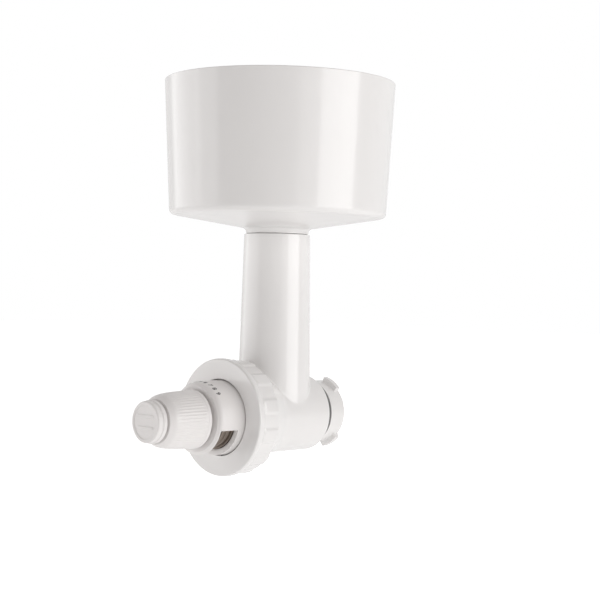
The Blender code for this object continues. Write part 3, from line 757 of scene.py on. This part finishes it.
def knob_ribs(radius, along, angle):
    """Fine ribs between the band and the front, and a pointer at the top of the band."""
    outside = radius > 12.9
    zone = ramp(along - 86.8, 0.8) * ramp(107.0 - along, 4)
    wave = 0.5 + 0.5 * np.cos(RIB_COUNT * angle)
    around = np.abs((angle + pi) % tau - pi)
    pointer = ramp(0.045 - around, 0.012) * ramp(along - 84.9, 0.3) * ramp(86.4 - along, 0.3)
    return radius + outside * (0.3 * pointer - RIB_DEPTH * zone * (1 - wave ** 2)), along


KNOB = rounded([
    (12.6, 84.4, 0.3), (15.6, 84.4, 0.5), (15.5, 86.3, 0.15), (15.3, 86.7, 0.1),
    (14.95, 96.0, 20.0), (14.5, 102.5, 20.0), (13.75, 107.0, 7.0), (11.9, 110.2, 0.3),
    (9.9, 110.2, 0.2), (9.9, 93.5, 0.3), (8.4, 93.5, 0.1), (8.4, 90.4, 0.1), (12.6, 90.4, 0.4)])
turned("adjusting_knob", "moulding", satin_white, divided(KNOB, 0.5), 448, shape=knob_ribs)

# %% [markdown]
# ## The cap
#
# The cap closes the knob's front. Its face has a shallow sunken field with two plain bars
# left standing in it, a neutral mark that only shows which way the cap was pressed in. The bars
# could be two more meshes laid on the face, but a moulding is one skin, so they are part of it.

# %% Knob cap
def cap_relief(radius, along, angle):
    """On the face, a field sunk 0.4 mm inside 9 mm, with two raised bars."""
    side, up = radius * np.sin(angle), radius * np.cos(angle)
    bar = ramp(6.0 - np.abs(side), 0.3) * ramp(0.9 - np.abs(np.abs(up) - 3.0), 0.3)
    sunk = ramp(9.0 - radius, 0.35) * (1 - 0.8 * bar)
    return radius, along - 0.4 * sunk * (along > 116.7)


CAP = rounded([
    (0.0, 112.5, 0.0), (6.0, 112.5, 0.2), (6.0, 104.3, 0.2), (9.6, 104.3, 0.2),
    (9.6, 111.1, 0.1), (11.1, 111.1, 0.2), (11.25, 113.3, 0.15), (10.75, 113.9, 0.15),
    (10.75, 116.3, 0.3), (10.2, 116.8, 0.25), (0.0, 116.8, 0.0)], closed=False)
turned("knob_cap", "moulding", satin_white, divided(CAP, 0.22, closed=False), 240,
       shape=cap_relief)

# %% [markdown]
# ## The printed scale
#
# Nine plain figures on the casing say how fine the mill is set. Text in Blender starts as a
# flat curve; it is made a mesh, then each point is wrapped on the casing: the distance across the
# figure becomes an angle, its height a distance along the axis.

# %% Figures 1 to 9 wrapped round the casing
FIGURE_HEIGHT, FIGURE_FOOT, FIGURE_STEP = 2.5, 80.1, radians(11)
CAPITAL_SHARE = 0.7            # a figure's height as a share of the size of its type
PAINT = 0.05                   # how far the ink stands proud, and how much it spreads


def casing_radius(along):
    """Radius of the casing's outside at a distance in front of the seat."""
    return np.interp(along, outer_along, outer_radius)


def figure_points(text, middle):
    """Text points (across, up, proud) become angle = across / R, along = foot - up."""
    curve = bpy.data.curves.new("figure", "FONT")
    curve.body = text
    curve.size = FIGURE_HEIGHT * MM / CAPITAL_SHARE
    curve.align_x = "CENTER"
    curve.extrude = 0.02 * MM
    curve.offset = PAINT * MM
    source = bpy.data.objects.new("figure", curve)
    mesh = bpy.data.meshes.new_from_object(source)
    points = np.empty(len(mesh.vertices) * 3)
    mesh.vertices.foreach_get("co", points)
    across, up, proud = points.reshape(-1, 3).T / MM
    along = FIGURE_FOOT - up
    angle = middle + across / 19.6
    wrapped = on_drive_axis(casing_radius(along) + PAINT + proud, angle, along)
    faces = [list(face.vertices) for face in mesh.polygons]
    bpy.data.objects.remove(source)
    bpy.data.curves.remove(curve)
    bpy.data.meshes.remove(mesh)
    return wrapped, faces


figure_shells = [figure_points(str(number), FIGURE_STEP * (number - 5))
                 for number in range(1, 10)]
starts = np.cumsum([0] + [len(points) for points, _ in figure_shells])
scale_mesh = bpy.data.meshes.new("grind_scale")
scale_mesh.from_pydata(
    (np.concatenate([points for points, _ in figure_shells]) * MM).tolist(), [],
    [[corner + int(start) for corner in face]
     for start, (_, faces) in zip(starts, figure_shells) for face in faces])
scale_mesh.materials.append(ink)
grind_scale = placed("grind_scale", scale_mesh)
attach(grind_scale, BODY_OF["head_casing"])
print("grind_scale:", len(scale_mesh.polygons), "faces")

# %% [markdown]
# ## Worm, springs and threads: a section carried along a helix
#
# A helix cannot be turned on a lathe in one go. A small closed section is carried along the
# path instead: each row of the grid is the section at one step of the helix, and the two ends
# shrink to a point, so the tube is closed.

# %% Carry a section along a helix
def ends_closed(points):
    """A tube's rows with a row added at each end, shrunk to the middle of that end's row."""
    ends = points[[0, -1]]
    tips = ends.mean(axis=1, keepdims=True) + 0 * ends
    points = np.concatenate([tips[:1], points, tips[1:]])
    return points, quads(len(points), points.shape[1], loop=False)


def helix(section, turns, start, end, per_turn, place=on_drive_axis, hand=-1, lead_in=0.0):
    """Rows of the section (radius, along) at equal steps of a helix, with closed ends.

    Step t has angle hand * t * full turns and moves along from start to end. lead_in is the share
    of the path over which the section grows from the inner radius at each end.
    """
    share = np.linspace(0, 1, int(turns * per_turn) + 1)[:, None]
    grow = ramp(np.minimum(share, 1 - share), lead_in) if lead_in else 1.0
    inner = section[:, 0].min()
    radius = inner + (section[:, 0] - inner) * grow + 0 * share
    along = start + (end - start) * share + section[:, 1]
    return ends_closed(place(radius, hand * tau * turns * share, along))


def circle(radius, along, thick, sides):
    """Section of a round wire: (R + t cos a, along + t sin a)."""
    angle = np.linspace(0, tau, sides, endpoint=False)
    return stretch(radius + thick * np.cos(angle), along + thick * np.sin(angle))


# %% [markdown]
# ## The feed worm
#
# The worm pushes grain from the throat to the burrs. Its flight is thick at the root and thin
# at the tip, as a moulded screw is, and its bore is hexagonal so that the shaft can drive it.
# The Screw modifier would give a flight of one thickness that ends abruptly; along the helix
# the section can grow out of the hub at each end.

# %% Feed auger
def hexagonal_bore(limit):
    """A shape that makes a hexagon of what is nearer the axis than the limit."""
    def shape(radius, along, angle):
        return radius - hexagonal(radius, angle) * (radius < limit), along
    return shape


HUB = rounded([(5.0, 14.9, 0.2), (7.0, 14.9, 0.4), (7.0, 50.5, 0.4), (5.0, 50.5, 0.2)])
flight = rounded([(6.5, -1.5, 0.0), (15.6, -0.85, 0.5), (15.8, 0.0, 0.1), (15.6, 0.85, 0.5),
                  (6.5, 1.5, 0.0)], steps=3)
turned("feed_auger", "moulding", ivory, divided(HUB, 2), 120,
       shape=hexagonal_bore(5.1),
       extra=[helix(flight, 2.17, 16.5, 48.9, 72, lead_in=0.06)])

# %% [markdown]
# ## Shaft, coupling and screw
#
# The shaft is round where it runs in its bush and hexagonal where it drives. The coupling at
# its tail has three wings for the machine's driver; a cross-head screw holds it. Round and
# hexagonal lengths could be separate cylinders, but one grid keeps them one solid bar.

# %% Drive shaft
def shaft_shape(radius, along, angle):
    """Hexagonal in front of the journal and behind it; a groove for the circlip."""
    driving = (along > 14.75) | (along < -0.9)
    return radius - hexagonal(radius, angle) * driving * (radius > 2.5), along


SHAFT = rounded([
    (0.0, -1.6, 0.0), (2.3, -1.6, 0.1), (2.3, -9.3, 0.1), (4.6, -9.3, 0.3), (4.6, -1.0, 0.1),
    (4.2, -1.0, 0.1), (4.2, 1.9, 0.1), (5.0, 1.9, 0.2), (5.0, 14.7, 0.1), (4.6, 14.8, 0.0),
    (4.6, 71.4, 0.5), (0.0, 71.4, 0.0)], closed=False)
turned("drive_shaft", "turned", bright_steel,
       divided(SHAFT, 2, closed=False), 96, shape=shaft_shape)


# %% Coupling with three wings
def wings(radius, along, angle):
    """Three wings, 36 degrees wide at the foot, stand out 4.2 mm; the bore is hexagonal."""
    off_centre = np.abs((angle + tau / 6) % (tau / 3) - tau / 6)
    wing = ramp(radians(18) - off_centre, radians(2)) * ramp(-2.4 - along, 0.4)
    bore = (np.abs(radius - 5) < 0.1) & (along > -9.8)
    radius_out = radius + 4.2 * wing * (radius > 7.4)
    return radius_out - hexagonal(radius, angle) * bore, along


COUPLING = rounded([
    (5.0, -1.0, 0.2), (5.0, -9.7, 0.0), (2.5, -9.7, 0.0), (2.5, -11.5, 0.1), (4.5, -11.5, 0.1),
    (4.5, -14.0, 0.3), (8.0, -14.0, 0.5), (8.0, -1.0, 0.6)])
turned("drive_coupling", "moulding", black, divided(COUPLING, 0.4), 240, shape=wings)


# %% Cross-head screw
def cross_and_thread(radius, along, angle):
    """A cross 0.8 mm wide and 1.1 mm deep in the head, and a fine thread on the shank."""
    side, up = np.abs(radius * np.sin(angle)), np.abs(radius * np.cos(angle))
    arm = np.maximum(*(ramp(0.45 - across, 0.15) * ramp(2.4 - reach, 0.3)
                       for across, reach in ((side, up), (up, side))))
    ridge = thread(along, angle, -11.0, -2.4, 0.7, 0.2)
    shank = (np.abs(radius - 1.8) < 0.05) & (along > -11.6)
    return radius + ridge * shank, along + 1.1 * arm * (along < -13.7)


SCREW = rounded([
    (0.0, -13.8, 0.0), (3.2, -13.8, 0.5), (4.0, -13.0, 0.4), (4.0, -11.8, 0.1), (1.8, -11.8, 0.0),
    (1.8, -2.4, 0.3), (0.0, -2.2, 0.0)], closed=False)
turned("coupling_screw", "turned", bright_steel,
       divided(SCREW, 0.12, closed=False), 120, shape=cross_and_thread)

# %% [markdown]
# ## Springs and balls
#
# Coil springs are wound from wire. A curve with a bevel would draw one too, but it would have to
# be made a mesh before it could be squashed along its axis; the helix above is a mesh from the
# start. A ball is a turned half circle, which has no stray faces at its poles.

# %% Burr spring, detent spring and the two balls
def beside(x_offset, up_offset):
    """The drive axis moved sideways, for small pieces that sit off centre."""
    def place(radius, angle, along):
        return on_drive_axis(radius, angle, along) + np.array([x_offset, 0, up_offset])
    return place


def ball(centre, radius, rows=24):
    """Half circle from pole to pole: (r sin u, centre - r cos u)."""
    u = np.linspace(0, pi, rows)
    return stretch(radius * np.sin(u) * (u > 0) * (u < pi), centre - radius * np.cos(u))


def wound(node, coil_radius, wire_radius, back, front, turns, place=on_drive_axis):
    """A coil spring whose wire ends are closed."""
    points = helix(circle(coil_radius, 0.0, wire_radius, 12), turns, back + wire_radius,
                   front - wire_radius, 48, place, hand=1)
    hang(node, "wound", wire, [points])


DETENT = beside(0.0, 14.1)
wound("burr_spring", 6.2, 0.5, 50.8, 56.7, 3.0)
wound("detent_spring", 0.85, 0.22, 79.5, 81.4, 3.0, DETENT)
turned("thrust_ball", "ground", bright_steel, ball(77.9, 2.5), 48)
turned("detent_ball", "ground", bright_steel, ball(82.9, 1.2), 32, place=DETENT)
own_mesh(bpy.data.objects["burr_spring_wound"])

# %% [markdown]
# ## Spindle, its bush and the adjuster nut
#
# The knob screws a hexagonal spindle in and out; a hexagonal bore in the bush keeps it from
# turning, so a turn of the knob becomes a push on the cone. The fine threads could be a bump in
# the metal. They are waves on the radius instead, so that they are also there in the mesh.

# %% Spindle, bush, adjuster nut
def spindle_shape(radius, along, angle):
    """Hexagonal behind 98.2 mm, threaded in front of it."""
    flats = hexagonal(radius, angle) * (along < 98.2)
    valleys = 0.25 * (0.5 + 0.5 * np.cos(tau * along + angle)) * (along >= 98.2)
    return radius - (flats + valleys) * (radius > 3.0), along


SPINDLE = rounded([(0.0, 80.7, 0.0), (4.4, 80.7, 0.4), (4.4, 103.0, 0.5), (0.0, 103.0, 0.0)],
                  closed=False)
turned("thrust_spindle", "turned", bright_steel,
       divided(SPINDLE, 0.2, closed=False), 96, shape=spindle_shape)


BUSH = rounded([
    (4.85, 78.3, 0.1), (8.0, 78.3, 0.3), (8.0, 93.8, 0.1), (7.1, 93.8, 0.1), (7.1, 95.4, 0.1),
    (8.0, 95.4, 0.1), (8.0, 97.0, 0.4), (4.85, 97.0, 0.2)])
turned("spindle_bush", "turned", brass, divided(BUSH, 1.5), 96, shape=hexagonal_bore(5))


def knurl(radius, along, angle):
    """Diamond knurl outside, fine thread in the bore."""
    cross = np.maximum(np.cos(40 * angle + along * 2.2), np.cos(40 * angle - along * 2.2))
    outside = radius > 9
    valleys = 0.15 * (0.5 - 0.5 * np.cos(tau * along + angle))
    return radius - 0.15 * (1 - cross) * 0.5 * outside + valleys * (radius < 4.8), along


NUT_INSERT = rounded([(4.7, 98.0, 0.3), (9.6, 98.0, 0.4), (9.6, 104.0, 0.4), (4.7, 104.0, 0.3)])
turned("adjuster_nut", "turned", brass, divided(NUT_INSERT, 0.199), 240, shape=knurl)

# %% [markdown]
# ## Rings, seals and keys
#
# Small turned rings need little more than their outline. The O-rings could be Blender's torus,
# but a circle through the same function keeps every ring alike. The circlip has a gap; the keys
# are short blocks whose edges are rounded by their formula.

# %% Bush, seal, washer, gasket and O-rings
def ring(node, made_by, material, corners):
    """A small ring on the drive axis from its outline's corners."""
    turned(node, made_by, material, divided(rounded(corners, steps=3), 1.5), 120)


ring("rear_bush", "pressed", bronze, [
    (5.3, 2.3, 0.2), (9.0, 2.3, 0.3), (9.0, 3.7, 0.2), (7.0, 3.7, 0.1), (7.0, 9.2, 0.3),
    (5.3, 9.2, 0.2)])
ring("shaft_seal", "moulding", rubber, [
    (5.35, 10.6, 0.1), (5.9, 9.8, 0.1), (9.0, 9.8, 0.2), (9.0, 12.7, 0.2), (7.4, 12.7, 0.2),
    (7.4, 11.0, 0.2), (5.9, 11.0, 0.1)])
ring("thrust_washer", "moulding", waxy, [
    (5.4, 13.3, 0.2), (8.5, 13.3, 0.3), (8.5, 14.5, 0.3), (5.4, 14.5, 0.2)])
ring("head_gasket", "cut", rubber, [
    (22.9, 57.8, 0.1), (25.7, 57.8, 0.1), (25.7, 58.6, 0.1), (22.9, 58.6, 0.1)])
ring("knob_retaining_ring", "pressed", wire, [
    (7.4, 94.1, 0.15), (9.5, 94.1, 0.15), (9.5, 95.1, 0.15), (7.4, 95.1, 0.15)])
turned("hub_sealing_ring", "moulding", rubber, circle(16.95, -3.8, 0.75, 16), 144)
turned("hopper_seal", "moulding", rubber, circle(14.85, 89.9, 0.8, 16), 144, on_throat_axis)

# %% Circlip with a gap, and the two keys
CLIP_GAP = radians(16)


def open_ring(outline, sides, eccentric):
    """A ring from one side of the gap to the other, wider opposite the gap, with closed ends."""
    angle = np.linspace(CLIP_GAP, tau - CLIP_GAP, sides)[:, None]
    wide = eccentric * (0.5 - 0.5 * np.cos(angle)) * (outline[:, 0] > outline[:, 0].mean())
    return ends_closed(on_drive_axis(outline[:, 0] + wide, angle, outline[:, 1] + 0 * angle))


clip = rounded([(4.5, 0.7, 0.1), (6.0, 0.7, 0.1), (6.0, 1.6, 0.1), (4.5, 1.6, 0.1)], steps=3)
hang("shaft_circlip", "pressed", wire, [open_ring(clip, 90, 0.8)])


def key_block(node, rows=25, sides=64):
    """Super-ellipsoid block: |x|^8 + |y|^8 + |z|^8 = 1, stretched to the key's own box."""
    low, high = (np.array(corner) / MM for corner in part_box(node))
    u = np.linspace(-pi / 2, pi / 2, rows)[:, None]
    v = np.linspace(0, tau, sides, endpoint=False)[None, :]
    x, y, z = np.cos(u) * np.cos(v), np.cos(u) * np.sin(v), np.sin(u) + 0 * v
    size = (np.abs(x) ** 8 + np.abs(y) ** 8 + np.abs(z) ** 8) ** (-1 / 8)
    points = np.stack([x * size, y * size, z * size], axis=-1)
    points = (low + high) / 2 + points * (high - low) / 2
    hang(node, "ground", bright_steel, [(points, quads(rows, sides, loop=False))])


key_block("burr_key_left")
key_block("burr_key_right")

# %% [markdown]
# ## The stage
#
# Light from a large soft box draws one clean stripe down a glossy round thing, and that stripe
# tells the eye how glossy and how round it is. Sun lamps would leave small hard glints instead.
# A pale floor far below and a pale world keep the rest of the surroundings even.

# %% Camera
HEADING, TILT = radians(43.575), radians(1.25)
CAMERA_PLACE = (0.5524, -0.58515, 0.06756)
camera_data = bpy.data.cameras.new("camera")
camera_data.lens = 85.0
camera_data.sensor_width = 36.0
camera_data.shift_y = -0.0122
camera_data.clip_start, camera_data.clip_end = 0.01, 100.0
camera = placed("camera", camera_data)
camera.matrix_world = (Matrix.Translation(CAMERA_PLACE) @ Matrix.Rotation(HEADING, 4, "Z")
                       @ Matrix.Rotation(pi / 2, 4, "X") @ Matrix.Rotation(TILT, 4, "Z"))
bpy.context.scene.camera = camera
print("camera:", round(Vector(CAMERA_PLACE).length, 2), "m from the seat")


# %% Tell the lens from the light that bounces
def seen_directly(tree):
    """1 for a ray straight from the lens, 0 for light that bounces."""
    rays = tree.nodes.new("ShaderNodeLightPath")
    return Output(tree, rays.outputs["Is Camera Ray"])


# %% Floor, bright to the lens and dimmer in reflections
REACH, FLOOR_HEIGHT = 6.0, -0.125
floor_mesh = bpy.data.meshes.new("floor")
floor_mesh.from_pydata([(-REACH, -REACH, FLOOR_HEIGHT), (REACH, -REACH, FLOOR_HEIGHT),
                        (REACH, REACH, FLOOR_HEIGHT), (-REACH, REACH, FLOOR_HEIGHT)], [],
                       [(0, 1, 2, 3)])
floor = placed("floor", floor_mesh)
floor_paint = bpy.data.materials.new("floor_paint")
floor_paint.use_nodes = True
floor_shader = floor_paint.node_tree.nodes["Principled BSDF"]
floor_shader.inputs["Base Color"].default_value = (0.9, 0.9, 0.9, 1.0)
floor_shader.inputs["Roughness"].default_value = 0.9
floor_shader.inputs["Emission Strength"].default_value = 1.0
floor_glow = between(seen_directly(floor_paint.node_tree), (0.33,) * 3, (0.65,) * 3)
floor_paint.node_tree.links.new(floor_glow.socket, floor_shader.inputs["Emission Color"])
floor_mesh.materials.append(floor_paint)

# %% World, white to the lens; in reflections it is brighter behind the mill than in front
bpy.context.scene.view_settings.view_transform = "Standard"
TOWARDS_CAMERA = Vector((sin(HEADING), -cos(HEADING), 0.0))
TO_THE_RIGHT = Vector((cos(HEADING), sin(HEADING), 0.0))

world = bpy.data.worlds.new("studio")
world.use_nodes = True
sky = world.node_tree.nodes.new("ShaderNodeTexCoord")
direction = Output(world.node_tree, sky.outputs["Generated"])
facing = direction.add("ShaderNodeVectorMath", {"operation": "DOT_PRODUCT"}, {
    0: direction, 1: -TOWARDS_CAMERA}, output=1)
behind = facing.add("ShaderNodeMapRange", {"interpolation_type": "SMOOTHSTEP"}, {
    "Value": facing, "From Min": -0.2, "From Max": 0.9, "To Min": 0.0, "To Max": 1.0})
glow = between(behind, (0.36, 0.343, 0.337), (0.80, 0.80, 0.80))
backdrop = between(seen_directly(world.node_tree), glow, (1.0, 1.0, 1.0))
world.node_tree.links.new(backdrop.socket, world.node_tree.nodes["Background"].inputs["Color"])
bpy.context.scene.world = world
print("world:", len(world.node_tree.nodes), "nodes")


# %% Soft boxes
AIM_POINT = Vector((0.0, -0.03, 0.09))
SOFT_BOXES = {                 # swing, lift, distance, width, height, power
    "right": (62, 4, 1.3, 1.0, 0.85, 6.9), "middle": (30, 6, 1.4, 0.5, 0.9, 0.9),
    "left": (-108, 8, 1.6, 1.4, 1.1, 3.2), "front_left": (-76, 6, 1.5, 0.8, 0.9, 1.1),
    "left_wide": (-100, 8, 1.9, 2.8, 1.2, 5.0)}


def soft_box(name, swing, lift, distance, width, height, power):
    """A rectangular light; swing is degrees to the right of the camera, seen from the mill."""
    flat = TOWARDS_CAMERA * cos(radians(swing)) + TO_THE_RIGHT * sin(radians(swing))
    aim = flat * cos(radians(lift)) + Vector((0, 0, 1)) * sin(radians(lift))
    light = bpy.data.lights.new(name, "AREA")
    light.shape = "RECTANGLE"
    light.size, light.size_y = width, height
    light.energy = power
    lamp = placed(name, light)
    lamp.location = AIM_POINT + aim * distance
    lamp.rotation_euler = aim.to_track_quat("Z", "Y").to_euler()


for box_name, box_settings in SOFT_BOXES.items():
    soft_box(box_name + "_soft_box", *box_settings)
print(len(SOFT_BOXES), "soft boxes")

# %% Close the lesson: how many pieces and faces
print(len(made), "pieces,", sum(made.values()), "faces")
